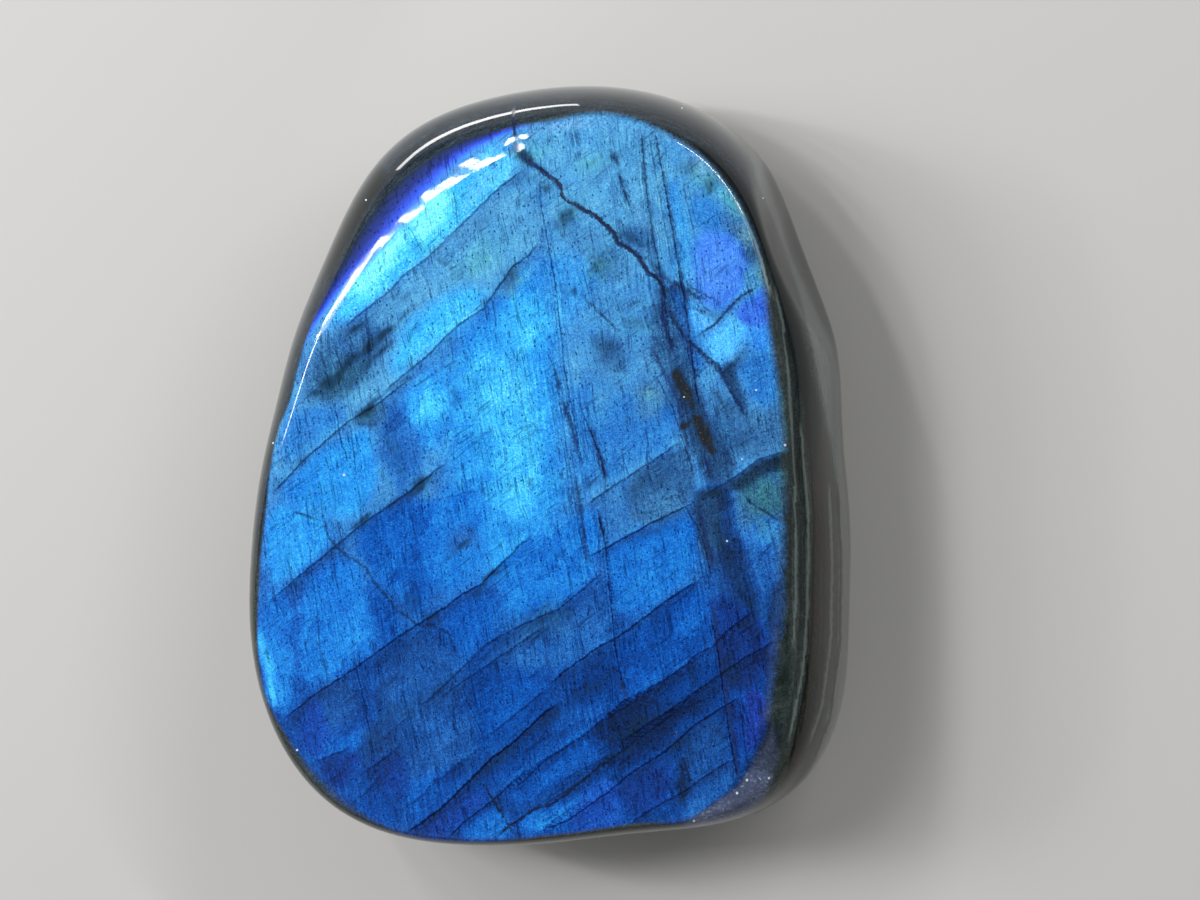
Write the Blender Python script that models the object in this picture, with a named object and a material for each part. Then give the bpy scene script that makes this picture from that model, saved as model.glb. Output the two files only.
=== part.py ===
"""Labradorite freeform: one hand-sized piece of labradorite, ground and polished to a soft, uneven pebble.

The stone lies on its flat back. +Z points out of its bright face, +Y runs along its length and
+X across it. The origin is at the middle of the bounding box, on the surface that the stone lies on.
"""

import math

import bpy
import numpy as np

MM = 0.001

# The bright face: almost a plane, crowned a little, and leaning a little against the flat back.
FACE_HEIGHT = 21.4 * MM  # at its middle
FACE_CROWN = 0.9 * MM  # how far it falls from its middle to the widest line
FACE_LEAN = math.radians(1.6)
FACE_RISES_TOWARDS = math.radians(75)

# Radii round the stone's upright axis, listed at equal angles from +X towards +Y.
AXIS = (0.24 * MM, 0.25 * MM)  # puts the origin in the middle of the outline
GIRTH = np.array([  # the widest line, every 15 degrees
    26.3, 26.8, 28.5, 31.1, 34.0, 34.7, 34.0, 33.3, 31.6, 28.3, 26.4, 25.6,
    26.2, 28.1, 31.4, 35.1, 37.0, 35.8, 34.3, 34.3, 36.5, 35.7, 30.9, 27.8,
]) * MM
SHOULDER = np.array([  # how far the face's edge lies inside it, every 15 degrees
    5.2, 5.2, 5.1, 4.3, 3.6, 3.9, 5.3, 7.7, 8.4, 6.3, 4.6, 3.8,
    3.1, 2.8, 2.3, 2.1, 2.0, 1.9, 1.9, 2.1, 3.0, 5.0, 5.8, 5.5,
]) * MM
GIRTH_HEIGHT = np.array([8.2, 8.8, 10.0, 11.0, 10.6, 10.4, 11.6, 12.6, 12.2, 11.0, 9.2, 8.2]) * MM
UNDERSIDE = np.array([5.4, 6.4, 7.6, 6.6, 5.6, 6.0, 7.2, 8.6, 7.4, 5.8, 6.2, 6.0]) * MM
SHOULDER_POWER = 2.3  # 2 is an ellipse, more is a squarer corner
UNDERSIDE_POWER = 2.15

# A flat ground on the wall. It faces this way and this far up, lies this far from the axis at this
# height, and is hollowed a little about a place that far along it.
FLAT_COMPASS = math.radians(21)
FLAT_TILT = math.radians(4)
FLAT_REACH = 27.8 * MM
FLAT_REACH_HEIGHT = 9.5 * MM
FLAT_HOLLOW = 0.6 * MM
FLAT_MIDDLE = 10.0 * MM
FLAT_HALF_LENGTH = 8.0 * MM
FLAT_EDGE = 0.15 * MM  # how far the flat's edge is worn round

# The mesh.
AROUND = 120
FACE_RINGS = 6
SHOULDER_RINGS = 11
UNDERSIDE_RINGS = 8


def closed_curve(angle, values):
    """Values listed at equal angles, joined by the smoothest closed curve: the sum of their harmonics."""
    terms = np.fft.rfft(values) / len(values)
    order = np.arange(len(terms))
    terms[1:-1] *= 2
    return (terms * np.exp(1j * order * angle[..., None])).real.sum(axis=-1)


def ground(angle, radius, height):
    """Radius cut back to the flat: the flat gives a largest radius, and a soft minimum takes the lesser."""
    facing = np.maximum(np.cos(angle - FLAT_COMPASS), 0.2)
    along = radius * np.sin(angle - FLAT_COMPASS) - FLAT_MIDDLE
    limit = FLAT_REACH - (height - FLAT_REACH_HEIGHT) * math.tan(FLAT_TILT)
    limit = (limit - FLAT_HOLLOW * np.exp(-((along / FLAT_HALF_LENGTH) ** 2))) / facing
    apart = abs(limit - radius) / FLAT_EDGE
    return np.minimum(limit, radius) - FLAT_EDGE * np.log1p(np.exp(-np.minimum(apart, 40)))


def stone_surface(angle, down):
    """Points of the stone's skin by compass angle and by way down, from 0 at the middle of the face.

    From 0 to 1 the way runs out over the face, from 1 to 2 down the rounded shoulder to the widest
    line, and from 2 to 3 in under the stone to the edge of its flat back. Shoulder and underside are
    quarters of a superellipse.
    """
    girth = closed_curve(angle, GIRTH)
    shoulder = closed_curve(angle, SHOULDER)
    girth_height = closed_curve(angle, GIRTH_HEIGHT)
    face = np.clip(down, 0, 1)
    turn = np.clip(down - 1, 0, 1) * math.pi / 2
    under = np.clip(down - 2, 0, 1) * math.pi / 2
    radius = (girth - shoulder) * face + shoulder * np.sin(turn) ** (2 / SHOULDER_POWER)
    lean = radius * math.tan(FACE_LEAN) * np.cos(angle - FACE_RISES_TOWARDS)
    above_girth = FACE_HEIGHT + lean - FACE_CROWN * (radius / girth) ** 2 - girth_height
    height = girth_height + above_girth * np.cos(turn) ** (2 / SHOULDER_POWER)
    height = height * (1 - np.sin(under) ** (2 / UNDERSIDE_POWER))
    underside = closed_curve(angle, UNDERSIDE)
    radius = radius - underside * (1 - np.cos(under) ** (2 / UNDERSIDE_POWER))
    radius = ground(angle, radius, height)
    return np.stack([
        AXIS[0] + radius * np.cos(angle),
        AXIS[1] + radius * np.sin(angle),
        height,
    ], axis=-1)


def stone_mesh(name):
    """The skin as rings of points: a fan closes the middle of the face, one flat polygon the back."""
    angle = np.arange(AROUND) * 2 * math.pi / AROUND
    down = np.concatenate([
        np.linspace(0, 1, FACE_RINGS + 1)[1:],
        np.linspace(1, 2, SHOULDER_RINGS + 1)[1:],
        np.linspace(2, 3, UNDERSIDE_RINGS + 1)[1:],
    ])
    rings = stone_surface(*np.meshgrid(angle, down))
    middle = stone_surface(np.zeros(1), np.zeros(1))
    points = np.concatenate([middle, rings.reshape(-1, 3)])
    here = np.arange(AROUND)
    after = (here + 1) % AROUND
    faces = [(0, 1 + a, 1 + b) for a, b in zip(here, after)]
    for ring in range(len(down) - 1):
        inner = 1 + ring * AROUND
        outer = inner + AROUND
        faces += [(inner + a, outer + a, outer + b, inner + b) for a, b in zip(here, after)]
    faces.append(tuple(range(len(points) - 1, len(points) - 1 - AROUND, -1)))
    mesh = bpy.data.meshes.new(name)
    mesh.from_pydata(points.tolist(), [], faces)
    mesh.shade_smooth()
    mesh.set_sharp_from_angle(angle=math.radians(35))
    return mesh


def polished_labradorite():
    """Blue feldspar under a high polish."""
    material = bpy.data.materials.new("labradorite")
    material.use_nodes = True
    shader = material.node_tree.nodes["Principled BSDF"]
    shader.inputs["Base Color"].default_value = (0.02, 0.16, 0.55, 1)
    shader.inputs["Metallic"].default_value = 0.2
    shader.inputs["Roughness"].default_value = 0.12
    return material


for leftover in list(bpy.data.objects):
    bpy.data.objects.remove(leftover)

collection = bpy.data.collections.new("labradorite_freeform")
bpy.context.scene.collection.children.link(collection)
stone = bpy.data.objects.new("labradorite_stone", stone_mesh("labradorite_stone"))
stone.data.materials.append(polished_labradorite())
collection.objects.link(stone)
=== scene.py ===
"""Labradorite freeform lying on its flat back: its polished skin and the blue flash inside it."""

import math

import bpy
import numpy as np
from mathutils import Matrix, Vector


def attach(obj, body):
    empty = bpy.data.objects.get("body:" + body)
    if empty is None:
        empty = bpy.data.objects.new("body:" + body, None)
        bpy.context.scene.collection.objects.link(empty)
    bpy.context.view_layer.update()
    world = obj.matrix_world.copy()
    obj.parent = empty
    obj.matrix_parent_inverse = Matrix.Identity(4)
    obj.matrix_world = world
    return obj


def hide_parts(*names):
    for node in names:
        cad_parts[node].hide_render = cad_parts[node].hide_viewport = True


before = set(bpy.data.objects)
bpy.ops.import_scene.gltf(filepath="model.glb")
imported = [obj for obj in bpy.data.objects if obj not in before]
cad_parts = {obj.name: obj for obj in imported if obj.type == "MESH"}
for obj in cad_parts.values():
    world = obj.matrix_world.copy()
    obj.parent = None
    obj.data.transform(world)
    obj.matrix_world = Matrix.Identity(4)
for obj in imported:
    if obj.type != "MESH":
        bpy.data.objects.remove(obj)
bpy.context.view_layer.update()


# Camera. It looks down on the face through a long lens, a little from the stone's right and from its
# narrow end, so that the right-hand wall and the rounded far end show.
MM = 0.001
VIEW_SIZE = (1200, 900)
LENS = 95.8  # in millimetres, as Blender takes it
SENSOR = 36.0
DISTANCE = 290 * MM
CLIP_START = 10 * MM
TURNED_RIGHT = math.radians(9)
TURNED_UP = math.radians(6)
AIM = Vector((4.54, 1.55, 11.0)) * MM

camera = bpy.data.objects.new("camera", bpy.data.cameras.new("camera"))
camera.data.lens = LENS
camera.data.sensor_width = SENSOR
camera.data.clip_start = CLIP_START
towards_camera = Vector((math.tan(TURNED_RIGHT), math.tan(TURNED_UP), 1)).normalized()
camera_right = Vector((0, 1, 0)).cross(towards_camera).normalized()
camera_up = towards_camera.cross(camera_right)
camera.rotation_euler = Matrix((camera_right, camera_up, towards_camera)).transposed().to_euler()
camera.location = AIM + towards_camera * DISTANCE
bpy.context.scene.collection.objects.link(camera)
bpy.context.scene.camera = camera


def seen_at(points):
    """Where points appear in the 1200 x 900 view, in pixels: offsets from the lens over the depth."""
    offset = points - np.array(camera.location)
    scale = LENS / SENSOR * VIEW_SIZE[0] / -(offset @ np.array(towards_camera))
    return np.stack([
        VIEW_SIZE[0] / 2 + scale * (offset @ np.array(camera_right)),
        VIEW_SIZE[1] / 2 - scale * (offset @ np.array(camera_up)),
    ], axis=-1)


# The stone. One piece of labradorite, a grey feldspar that flashes blue where its thin inner layers lie
# square to the light. It is ground to a soft free form with a flat back and polished all over. Its skin
# is one closed surface in rings round an upright axis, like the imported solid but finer.
FACE_HEIGHT = 21.4 * MM  # at its middle
FACE_CROWN = 0.9 * MM  # how far it falls from its middle to the widest line
FACE_LEAN = math.radians(1.6)
FACE_RISES_TOWARDS = math.radians(75)
AXIS = (0.24 * MM, 0.25 * MM)
GIRTH = np.array([  # how far the widest line lies from the axis, every 15 degrees from +X towards +Y
    26.3, 26.8, 28.5, 31.1, 34.0, 34.7, 34.0, 33.3, 31.6, 28.3, 26.4, 25.6,
    26.2, 28.1, 31.4, 35.1, 37.0, 35.8, 34.3, 34.3, 36.5, 35.7, 30.9, 27.8,
]) * MM
SHOULDER = np.array([  # how far the edge of the face lies inside it
    5.2, 5.2, 5.1, 4.3, 3.6, 3.9, 5.3, 7.7, 8.4, 6.3, 4.6, 3.8,
    3.1, 2.8, 2.3, 2.1, 2.0, 1.9, 1.9, 2.1, 3.0, 5.0, 5.8, 5.5,
]) * MM
GIRTH_HEIGHT = np.array([8.2, 8.8, 10.0, 11.0, 10.6, 10.4, 11.6, 12.6, 12.2, 11.0, 9.2, 8.2]) * MM
UNDERSIDE = np.array([5.4, 6.4, 7.6, 6.6, 5.6, 6.0, 7.2, 8.6, 7.4, 5.8, 6.2, 6.0]) * MM
SHOULDER_POWER = 2.3  # 2 is an ellipse, more is a squarer corner
UNDERSIDE_POWER = 2.15
FLAT_COMPASS = math.radians(21)  # which way the flat on the wall faces
FLAT_TILT = math.radians(4)
FLAT_REACH = 27.8 * MM
FLAT_REACH_HEIGHT = 9.5 * MM
FLAT_HOLLOW = 0.6 * MM
FLAT_MIDDLE = 10.0 * MM
FLAT_HALF_LENGTH = 8.0 * MM
FLAT_EDGE = 0.15 * MM  # how far the edge of the flat is worn round
LEAST_FACING = 0.2  # keeps the far side of the stone out of the flat's reach
FAR_FROM_EDGE = 40  # so many of its worn edges away, the flat rounds nothing
AROUND = 552
FACE_RINGS = 130
SHOULDER_RINGS = 30
UNDERSIDE_RINGS = 16


def closed_curve(angle, values):
    """Values listed at equal angles, joined by the smoothest closed curve: the sum of their harmonics."""
    terms = np.fft.rfft(values) / len(values)
    order = np.arange(len(terms))
    terms[1:-1] *= 2
    return (terms * np.exp(1j * order * angle[..., None])).real.sum(axis=-1)


def ground(angle, radius, height):
    """Radius cut back to the flat ground on the wall, as the soft minimum of the two."""
    facing = np.maximum(np.cos(angle - FLAT_COMPASS), LEAST_FACING)
    along = radius * np.sin(angle - FLAT_COMPASS) - FLAT_MIDDLE
    limit = FLAT_REACH - (height - FLAT_REACH_HEIGHT) * math.tan(FLAT_TILT)
    limit = (limit - FLAT_HOLLOW * np.exp(-((along / FLAT_HALF_LENGTH) ** 2))) / facing
    apart = abs(limit - radius) / FLAT_EDGE
    worn = FLAT_EDGE * np.log1p(np.exp(-np.minimum(apart, FAR_FROM_EDGE)))
    return np.minimum(limit, radius) - worn


def stone_surface(angle, down):
    """Points of the skin by compass angle and by way down, from 0 at the middle of the face.

    From 0 to 1 the way runs out over the face, from 1 to 2 down the rounded shoulder to the widest
    line, and from 2 to 3 in under the stone to the edge of its flat back. Shoulder and underside are
    quarters of a superellipse.
    """
    girth = closed_curve(angle, GIRTH)
    shoulder = closed_curve(angle, SHOULDER)
    girth_height = closed_curve(angle, GIRTH_HEIGHT)
    face = np.clip(down, 0, 1)
    turn = np.clip(down - 1, 0, 1) * math.pi / 2
    under = np.clip(down - 2, 0, 1) * math.pi / 2
    radius = (girth - shoulder) * face + shoulder * np.sin(turn) ** (2 / SHOULDER_POWER)
    lean = radius * math.tan(FACE_LEAN) * np.cos(angle - FACE_RISES_TOWARDS)
    above_girth = FACE_HEIGHT + lean - FACE_CROWN * (radius / girth) ** 2 - girth_height
    height = girth_height + above_girth * np.cos(turn) ** (2 / SHOULDER_POWER)
    height = height * (1 - np.sin(under) ** (2 / UNDERSIDE_POWER))
    underside = closed_curve(angle, UNDERSIDE)
    radius = radius - underside * (1 - np.cos(under) ** (2 / UNDERSIDE_POWER))
    radius = ground(angle, radius, height)
    return np.stack([
        AXIS[0] + radius * np.cos(angle),
        AXIS[1] + radius * np.sin(angle),
        height,
    ], axis=-1)


def stone_mesh():
    """The skin as one closed mesh: a middle point, rings of points joined by quads, and the flat back."""
    down = np.concatenate([
        np.linspace(0, 1, FACE_RINGS + 1)[1:],
        np.linspace(1, 2, SHOULDER_RINGS + 1)[1:],
        np.linspace(2, 3, UNDERSIDE_RINGS + 1)[1:],
    ])
    angle = np.linspace(0, 2 * math.pi, AROUND, endpoint=False)
    rings = stone_surface(angle[None, :], down[:, None]).reshape(-1, 3)
    points = np.concatenate([[stone_surface(np.zeros(1), np.zeros(1))[0]], rings])
    step = np.arange(AROUND)
    after = (step + 1) % AROUND
    fan = np.stack([np.zeros(AROUND, int), 1 + step, 1 + after], axis=1)
    inner = 1 + np.arange(len(down) - 1)[:, None] * AROUND
    quads = np.stack([inner + step, inner + AROUND + step, inner + AROUND + after, inner + after], axis=-1)
    back = (len(points) - 1 - step).tolist()
    way_down = np.concatenate([[0], np.repeat(down, AROUND)])
    return points, way_down, fan.tolist() + quads.reshape(-1, 4).tolist() + [back]


points, way_down, faces = stone_mesh()
place = seen_at(points)

# The flash fills the face. It stops at this line, in pixels of the view: crisp on the left and near
# sides, where its layers crop out at the shoulder, soft at the right, and violet at the far left.
FLASH_LINE = [
    (501, 130), (551, 121), (587, 114), (612, 114), (637, 120), (658, 129), (681, 142), (706, 160),
    (727, 186), (742, 212), (754, 238), (763, 275), (769, 329), (775, 370), (781, 410), (784, 440),
    (783, 505), (780, 560), (780, 610), (774, 650), (768, 700), (762, 738), (738, 785), (712, 805),
    (686, 825), (640, 822), (596, 830), (546, 836), (496, 842), (446, 842), (413, 838), (380, 825),
    (360, 814), (333, 794), (300, 757), (278, 723), (266, 700), (260, 673), (257, 640), (258, 600),
    (260, 560), (266, 511), (270, 469), (278, 428), (291, 400), (297, 370), (309, 330), (326, 290),
    (347, 256), (371, 216), (395, 186), (431, 157), (466, 139),
]
FLASH_ENDS = 1.78  # the way down the stone below which no flash shows
FLASH_FADE = 80  # how many pixels inside its edge the flash counts as being, for each step of that way
CRISP_EDGE = 1.6
SOFT_EDGES = [
    # x, y, radius and how much softer
    (795, 470, 190, 6), (790, 640, 110, 6), (750, 230, 90, 3), (760, 770, 60, 5), (600, 110, 90, 3),
    (330, 790, 50, 6),
]
FRINGE_MIDDLE = (385, 202)
FRINGE_REACH = 105
FRINGE_WIDTH = 40
FRINGE_FADES = 12  # a fringe narrower than this is faint
LEAST_FRINGE = 0.1  # keeps the way in from being measured against nothing


def inside(at, outline):
    """Distance in from a closed outline, in pixels, and negative outside it: the least distance to any
    side, signed by whether a line to the right crosses the outline an odd number of times."""
    nearest = np.full(len(at), np.inf)
    odd = np.zeros(len(at), bool)
    outline = np.array(outline, float)
    for start, end in zip(outline, np.roll(outline, -1, axis=0)):
        side = end - start
        along = np.clip((at - start) @ side / (side @ side), 0, 1)
        nearest = np.minimum(nearest, np.hypot(*(at - start - along[:, None] * side).T))
        crosses = (start[1] > at[:, 1]) != (end[1] > at[:, 1])
        meets = start[0] + (at[:, 1] - start[1]) * side[0] / (side[1] if side[1] else 1)
        odd ^= crosses & (at[:, 0] < meets)
    return np.where(odd, nearest, -nearest)


def rounded(outline, rounds=2):
    """A closed outline with its corners cut: each side keeps its middle half, twice over."""
    outline = np.array(outline, float)
    for _ in range(rounds):
        after = np.roll(outline, -1, axis=0)
        outline = np.stack([outline * 0.75 + after * 0.25, outline * 0.25 + after * 0.75], axis=1)
        outline = outline.reshape(-1, 2)
    return outline


def eased(value):
    """Smooth step: 0 below 0, 1 above 1, and 3t^2 - 2t^3 between."""
    value = np.clip(value, 0, 1)
    return value * value * (3 - 2 * value)


def spot(at, x, y, radius):
    """A round soft spot: e to the power of minus the square of the distance over the radius."""
    return np.exp(-((at[:, 0] - x) ** 2 + (at[:, 1] - y) ** 2) / radius ** 2)


def wandering(at, reach, wavelength, seed):
    """Places moved a little, smoothly and irregularly: by the sum of eight sine waves that run and push
    in chance directions."""
    chance = np.random.default_rng(seed)
    moved = at.copy()
    for _ in range(8):
        heading, push, phase = chance.uniform(0, 2 * math.pi, 3)
        along = at @ (math.cos(heading), math.sin(heading))
        wave = np.sin(along * 2 * math.pi / (wavelength * chance.uniform(0.6, 1.6)) + phase)
        moved += wave[:, None] * (math.cos(push), math.sin(push)) * reach / 2
    return moved


flash_in = inside(place, rounded(FLASH_LINE))
flash_in = np.minimum(flash_in, (FLASH_ENDS - way_down) * FLASH_FADE)
edge_softness = CRISP_EDGE + sum(soft * spot(place, x, y, radius) for x, y, radius, soft in SOFT_EDGES)
fringe_width = FRINGE_WIDTH * spot(place, *FRINGE_MIDDLE, FRINGE_REACH)
fringe = 1 - np.clip(flash_in / (fringe_width + LEAST_FRINGE), 0, 1)
fringe *= eased(fringe_width / FRINGE_FADES)

# The layers under the face are broken into blocks, each tilted a little, so each flashes at its own
# strength: from hardly, which is DEEP, to fully. Its tint is how grey and how violet its blue is.
DEEP = 0.16
DARK = 0.25
DIM = 0.37
MIDDLE = 0.48
CLEAR = 0.6
LIGHT = 0.74
BRIGHT = 0.92
# above full: the flash whitened by painted glare beside the left highlight
GLOWING_WITH_PAINTED_GLARE = 1.2
CLEAN = (0.1, 0)
DULLED = (0.4, 0)
SLATE = (0.9, 0)
INKY = (0.1, 0.2)
PURPLE = (0.1, 0.5)

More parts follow.
